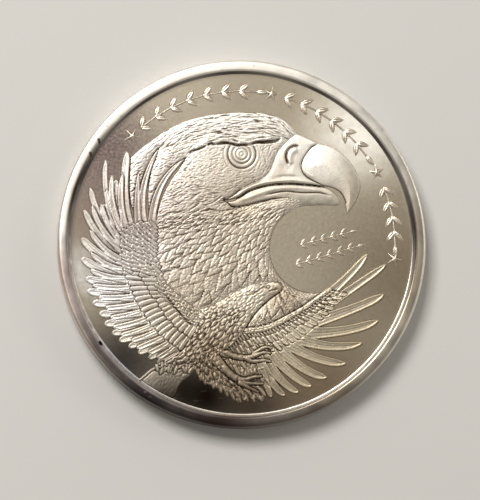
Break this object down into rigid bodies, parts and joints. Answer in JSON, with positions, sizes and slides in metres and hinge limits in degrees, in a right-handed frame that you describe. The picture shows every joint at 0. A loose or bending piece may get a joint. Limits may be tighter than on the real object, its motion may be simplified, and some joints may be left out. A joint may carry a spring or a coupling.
{
  "type": "challenge coin",
  "caption": "Round struck silver coin: an eagle's head over a flying eagle in relief inside a raised rim, with a wreath and star on the back.",
  "frame": {"origin": "centre of the coin, on the flat top of the reverse rim that it lies on", "axes": "+Z out of the obverse, +Y towards the top of the design, +X to its right as seen from the obverse"},
  "size_m": [0.039, 0.039, 0.003],
  "materials": {
    "struck_silver": "fine silver with a semi-bright struck surface: sunken fields with brown-grey toning and faint scuffs, rims worn bright",
    "frosted_silver": "fine silver with a fine matte frost from the die, bright on the crests and darker in the grooves"
  },
  "bodies": {
    "root": {"eagle_brow": "frosted_silver", "eagle_cere": "frosted_silver", "eagle_eye": "frosted_silver", "eagle_head": "frosted_silver", "eagle_lower_beak": "frosted_silver", "eagle_upper_beak": "frosted_silver", "field_sprig_lower": "frosted_silver", "field_sprig_upper": "frosted_silver", "flying_eagle_body": "frosted_silver", "flying_eagle_lower_leg": "frosted_silver", "flying_eagle_tail": "frosted_silver", "flying_eagle_upper_leg": "frosted_silver", "left_wing_flight_feathers": "frosted_silver", "left_wing_greater_coverts": "frosted_silver", "left_wing_median_coverts": "frosted_silver", "left_wing_shoulder": "frosted_silver", "legend_sprig_1": "frosted_silver", "legend_sprig_2": "frosted_silver", "legend_sprig_3": "frosted_silver", "legend_star_1": "frosted_silver", "legend_star_2": "frosted_silver", "legend_star_3": "frosted_silver", "legend_star_4": "frosted_silver", "planchet": "struck_silver", "reverse_star": "frosted_silver", "reverse_wreath_left": "frosted_silver", "reverse_wreath_right": "frosted_silver", "reverse_wreath_tie": "frosted_silver", "right_wing_coverts": "frosted_silver", "right_wing_flight_feathers": "frosted_silver"}
  },
  "joints": []
}
